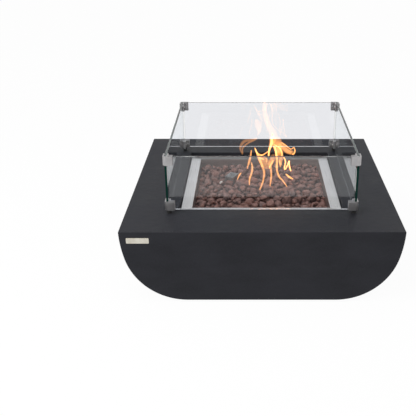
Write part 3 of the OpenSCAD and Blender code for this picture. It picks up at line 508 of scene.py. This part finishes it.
def turn(draw):
    """A random turn, as a matrix."""
    angles = draw.uniform(0.0, 2.0 * math.pi, 3)
    return np.array(Euler(angles).to_matrix())


def keep_clear(ways):
    """How far the nodes that stones stay off reach along some ways in plan, and how low they are."""
    under_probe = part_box("probe_tip")[0].z
    taken = []
    for node, room, open_below in KEPT_CLEAR:
        corners = np.array([v.co[:2] for v in frame["nodes"][node].data.vertices])
        reach = (corners @ ways.T).max(axis=0) + room
        taken.append((reach, under_probe if open_below else 0.0))
    return taken


def drop_stones():
    """Places and radii of a pile: each stone falls into the lowest of a few free places."""
    draw = np.random.default_rng(STONE_SEED)
    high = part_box("lava_rock_bed")[1]
    half = min(high.x, high.y)
    angles = np.linspace(0.0, 2.0 * math.pi, CLEAR_WAYS, endpoint=False)
    ways = np.column_stack([np.cos(angles), np.sin(angles)])
    taken = keep_clear(ways)
    places = np.array(LEANING)[:, :3]
    radii = np.array(LEANING)[:, 3]
    for sizes, drop in ((STONE_R, 0.0), (CHIP_R, CHIP_DROP)):
        misses = 0
        while misses < STONE_MISSES:
            r = draw.uniform(*sizes)
            spots = draw.uniform(r - half, half - r, (STONE_TRIES, 2))
            away = np.hypot(spots[:, None, 0] - places[:, 0], spots[:, None, 1] - places[:, 1])
            reach = radii + r
            lift = np.sqrt(np.maximum(reach**2 - away**2, 0.0))
            on_others = np.where(away < reach, places[:, 2] + lift, 0.0)
            rest = np.maximum(on_others.max(axis=1, initial=0.0), STONE_FLOOR + r)
            for reach_out, low_z in taken:
                beside = (spots @ ways.T - reach_out).max(axis=1) > r
                rest = np.where(beside | (rest + r < low_z), rest, math.inf)
            best = int(np.argmin(rest))
            out = np.max(np.abs(spots[best])) / half
            allowed = PILE_MIDDLE + (PILE_EDGE - PILE_MIDDLE) * out**PILE_CURVE - drop
            if rest[best] + r > allowed + draw.uniform(-PILE_UNEVEN, PILE_UNEVEN):
                misses += 1
                continue
            places = np.vstack([places, (*spots[best], rest[best])])
            radii = np.append(radii, r)
    return places, radii


def rough_bed():
    """The buried rock under the stones, as a closed slab with a lumpy top."""
    low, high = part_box("lava_rock_bed")
    count = int((high.x - low.x) / BED_STEP)
    slab = bmesh.new()
    bmesh.ops.create_grid(slab, x_segments=count, y_segments=count, size=high.x)
    base = bmesh.ops.extrude_face_region(slab, geom=list(slab.faces))
    raised = [v for v in base["geom"] if isinstance(v, bmesh.types.BMVert)]
    for v in slab.verts:
        v.co.z = low.z
    for v in raised:
        spot = Vector((v.co.x, v.co.y, 0.0)) * BED_LUMP_SCALE
        v.co.z = high.z - BED_SUNK + BED_LUMP * noise.fractal(spot, NOISE_FALL, NOISE_STEP, BED_LAYERS)
    bmesh.ops.recalc_face_normals(slab, faces=slab.faces)
    return slab


def lava_stones():
    """The pile of stones with the bed under it, as one piece with a tone for each stone."""
    draw = np.random.default_rng(STONE_SEED + 1)
    places, radii = drop_stones()
    kinds = range(STONE_KINDS)
    shapes = [(stone_shape(kind, FINE_LEVEL), stone_shape(kind, PLAIN_LEVEL)) for kind in kinds]
    bed = rough_bed()
    points = [np.array([v.co[:] for v in bed.verts])]
    faces = [[v.index for v in f.verts] for f in bed.faces]
    tones = [np.full(len(bed.verts), BED_SHADE_TONE)]
    bed.free()
    total = len(points[0])
    for place, r in zip(places, radii):
        fine, plain = shapes[draw.integers(STONE_KINDS)]
        shape, sides = plain if r < CHIP_R[1] else fine
        spot = (STONE_SWELL * r * shape) @ turn(draw).T + place
        points.append(spot)
        faces.extend((sides + total).tolist())
        tones.append(np.full(len(spot), draw.uniform() ** TONE_CURVE))
        total += len(spot)
    mesh = bpy.data.meshes.new("lava_stones")
    mesh.from_pydata(np.vstack(points).tolist(), [], faces)
    tone = mesh.attributes.new("tone", "FLOAT", "POINT")
    tone.data.foreach_set("value", np.concatenate(tones).astype(np.float32))
    smooth_by_angle(mesh, STONE_CREASE)
    piece = new_piece("lava_stones", mesh, "lava_rock", "root")
    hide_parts("lava_rocks", "lava_rock_bed")


def soft_edged(node):
    """A copy of a CAD node with its sharp edges rounded, which stands for the node."""
    source = frame["nodes"][node]
    form = bmesh.new()
    form.from_mesh(source.data)
    bmesh.ops.remove_doubles(form, verts=form.verts, dist=SAME_POINT)
    flat = math.radians(FLAT_ANGLE)
    bmesh.ops.dissolve_limit(form, angle_limit=flat, verts=form.verts, edges=form.edges)
    sharp = []
    for edge in form.edges:
        if len(edge.link_faces) == 2 and edge.calc_face_angle() > math.radians(SHARP_ANGLE):
            sharp.append(edge)
    cut = bmesh.ops.bevel(
        form, geom=sharp, offset=SOFT_EDGE, segments=SOFT_STEPS, affect="EDGES", clamp_overlap=True
    )
    rounded = set(cut["faces"])
    for edge in form.edges:
        sides = [face in rounded for face in edge.link_faces]
        is_crease = edge.calc_face_angle(math.pi) >= math.radians(CREASE_ANGLE)
        edge.smooth = all(sides) or not (any(sides) or is_crease)
    for face in form.faces:
        face.smooth = True
    mesh = bpy.data.meshes.new(node + "_soft")
    form.to_mesh(mesh)
    form.free()
    piece = new_piece(node + "_soft", mesh, SLOTS[node], source["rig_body"])
    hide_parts(node)


def spring(node):
    """A copy of a spring as a piece of its own, with a mesh of its own, which stands for the node."""
    source = frame["nodes"][node]
    mesh = source.data.copy()
    mesh.materials.clear()
    piece = new_piece(node + "_coil", mesh, SLOTS[node], source["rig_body"])
    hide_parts(node)
    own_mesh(piece)


def name_plate():
    """A bare plate with rounded corners and edges, on the front face."""
    back_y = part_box("table_body")[0].y
    front_y = back_y - PLATE_THICK
    form = bmesh.new()
    bmesh.ops.create_cube(form, size=1.0)
    for v in form.verts:
        x = PLATE_LOW.x if v.co.x < 0.0 else PLATE_HIGH.x
        z = PLATE_LOW.y if v.co.z < 0.0 else PLATE_HIGH.y
        v.co = (x, front_y if v.co.y < 0.0 else back_y, z)
    corners = [e for e in form.edges if abs(e.verts[0].co.y - e.verts[1].co.y) > SAME_POINT]
    bmesh.ops.bevel(form, geom=corners, offset=PLATE_CORNER, segments=PLATE_CORNER_STEPS, affect="EDGES")
    rim = []
    for edge in form.edges:
        at_front = all(v.co.y < (front_y + back_y) / 2.0 for v in edge.verts)
        if at_front and len(edge.link_faces) == 2 and edge.calc_face_angle() > math.radians(SHARP_ANGLE):
            rim.append(edge)
    bmesh.ops.bevel(form, geom=rim, offset=PLATE_RIM, segments=SOFT_STEPS, affect="EDGES")
    mesh = bpy.data.meshes.new("name_plate")
    form.to_mesh(mesh)
    form.free()
    smooth_by_angle(mesh, CREASE_ANGLE)
    new_piece("name_plate", mesh, "clip_nickel", "root", plate_metal())


def through(points, steps):
    """A smooth curve through some points, which may carry more numbers than three."""
    p = np.vstack([2.0 * points[0] - points[1], points, 2.0 * points[-1] - points[-2]])
    t = np.linspace(0.0, 1.0, steps, endpoint=False)[:, None]
    curve = []
    for a, b, c, d in zip(p, p[1:], p[2:], p[3:]):
        bend = (2.0 * a - 5.0 * b + 4.0 * c - d) * t**2 + (3.0 * b - a - 3.0 * c + d) * t**3
        curve.append(b + 0.5 * ((c - a) * t + bend))
    return np.vstack([*curve, points[-1:]])


def add_bead(name, place, r, power):
    """One small round lamp of the flame, which the camera sees."""
    bead = bpy.data.lights.new(name, "POINT")
    bead.shadow_soft_size = r
    bead.energy = power
    bead.color = FLAME_COLOR
    lamp = bpy.data.objects.new(name, bead)
    lamp.location = place
    lamp.visible_camera = True
    bpy.context.scene.collection.objects.link(lamp)


def flame():
    """The lit flame, as light and no piece of the table: each tongue is a string of small round lamps.

    A lamp has the power of the side of a glowing cylinder, as long as the gap to the next lamp.
    """
    count = 0
    for glow, *points in FLAME_TONGUES:
        last = None
        for *place, half_width in through(np.array(points) / 1000.0, FLAME_STEPS):
            r = max(half_width, FLAME_THIN)
            gap = min(FLAME_BEAD * r, FLAME_GAP)
            if last is not None and math.dist(place, last) < gap:
                continue
            last = place
            add_bead(f"flame_{count}", place, r, math.pi * glow * 2.0 * math.pi * r * gap)
            count += 1


def background_rays(nodes, links):
    """One for rays that show the background: from the camera, off gloss or through glass."""
    path = nodes.new("ShaderNodeLightPath")
    found = path.outputs["Is Camera Ray"]
    for name in ("Is Glossy Ray", "Is Transmission Ray"):
        larger = nodes.new("ShaderNodeMath")
        larger.operation = "MAXIMUM"
        links.new(found, larger.inputs[0])
        links.new(path.outputs[name], larger.inputs[1])
        found = larger.outputs[0]
    return found


def surround():
    """A white surround that lights the table at the fill level."""
    world = bpy.data.worlds.new("studio")
    bpy.context.scene.world = world
    world.use_nodes = True
    nodes = world.node_tree.nodes
    links = world.node_tree.links
    seen = nodes["Background"]
    fill = nodes.new("ShaderNodeBackground")
    for background, level in ((seen, 1.0), (fill, FILL_LEVEL)):
        background.inputs["Color"].default_value = (*WHITE, 1.0)
        background.inputs["Strength"].default_value = level
    either = nodes.new("ShaderNodeMixShader")
    links.new(background_rays(nodes, links), either.inputs[0])
    links.new(fill.outputs[0], either.inputs[1])
    links.new(seen.outputs[0], either.inputs[2])
    links.new(either.outputs[0], nodes["World Output"].inputs["Surface"])


def floor_finish():
    """A pale floor that is near white to the eye and still takes a soft shadow."""
    material = bpy.data.materials.new("floor")
    material.use_nodes = True
    nodes = material.node_tree.nodes
    links = material.node_tree.links
    nodes.remove(nodes["Principled BSDF"])
    matte = nodes.new("ShaderNodeBsdfDiffuse")
    matte.inputs["Color"].default_value = (*FLOOR_COLOR, 1.0)
    glow = nodes.new("ShaderNodeEmission")
    share = nodes.new("ShaderNodeMath")
    share.operation = "MULTIPLY"
    share.inputs[1].default_value = FLOOR_GLOW
    links.new(background_rays(nodes, links), share.inputs[0])
    both = nodes.new("ShaderNodeMixShader")
    links.new(share.outputs[0], both.inputs[0])
    links.new(matte.outputs[0], both.inputs[1])
    links.new(glow.outputs[0], both.inputs[2])
    links.new(both.outputs[0], nodes["Material Output"].inputs["Surface"])
    return material


def floor():
    """A plain pale floor."""
    mesh = bpy.data.meshes.new("floor")
    h = FLOOR_HALF
    mesh.from_pydata([(-h, -h, 0.0), (h, -h, 0.0), (h, h, 0.0), (-h, h, 0.0)], [], [(0, 1, 2, 3)])
    mesh.materials.append(floor_finish())
    ground = bpy.data.objects.new("floor", mesh)
    bpy.context.scene.collection.objects.link(ground)


def key_lamp():
    """One wide soft lamp from the front left."""
    key = bpy.data.lights.new("key", "AREA")
    key.energy = KEY_POWER
    key.size = KEY_SIZE
    lamp = bpy.data.objects.new("key", key)
    lamp.location = KEY_PLACE
    lamp.rotation_euler = (Vector(KEY_AIM) - Vector(KEY_PLACE)).to_track_quat("-Z", "Y").to_euler()
    bpy.context.scene.collection.objects.link(lamp)


def photo_camera():
    """The camera at the photograph's viewing angle."""
    scene = bpy.context.scene
    scene.view_settings.view_transform = "Standard"
    camera = bpy.data.objects.new("camera", bpy.data.cameras.new("camera"))
    camera.data.sensor_width = CAMERA_SENSOR
    camera.data.lens = CAMERA_LENS
    camera.data.shift_x = CAMERA_SHIFT
    camera.location = CAMERA_PLACE
    camera.rotation_euler = (math.radians(CAMERA_TILT), 0.0, 0.0)
    scene.collection.objects.link(camera)
    scene.camera = camera


surround()
floor()
key_lamp()
photo_camera()
dress_nodes()
lava_stones()
flame()
name_plate()
for level in ("lower", "upper"):
    for corner in ("front_left", "front_right", "back_left", "back_right"):
        soft_edged(f"{level}_clip_{corner}")
soft_edged("control_knob")
soft_edged("igniter_button")
spring("stem_spring")
spring("igniter_spring")
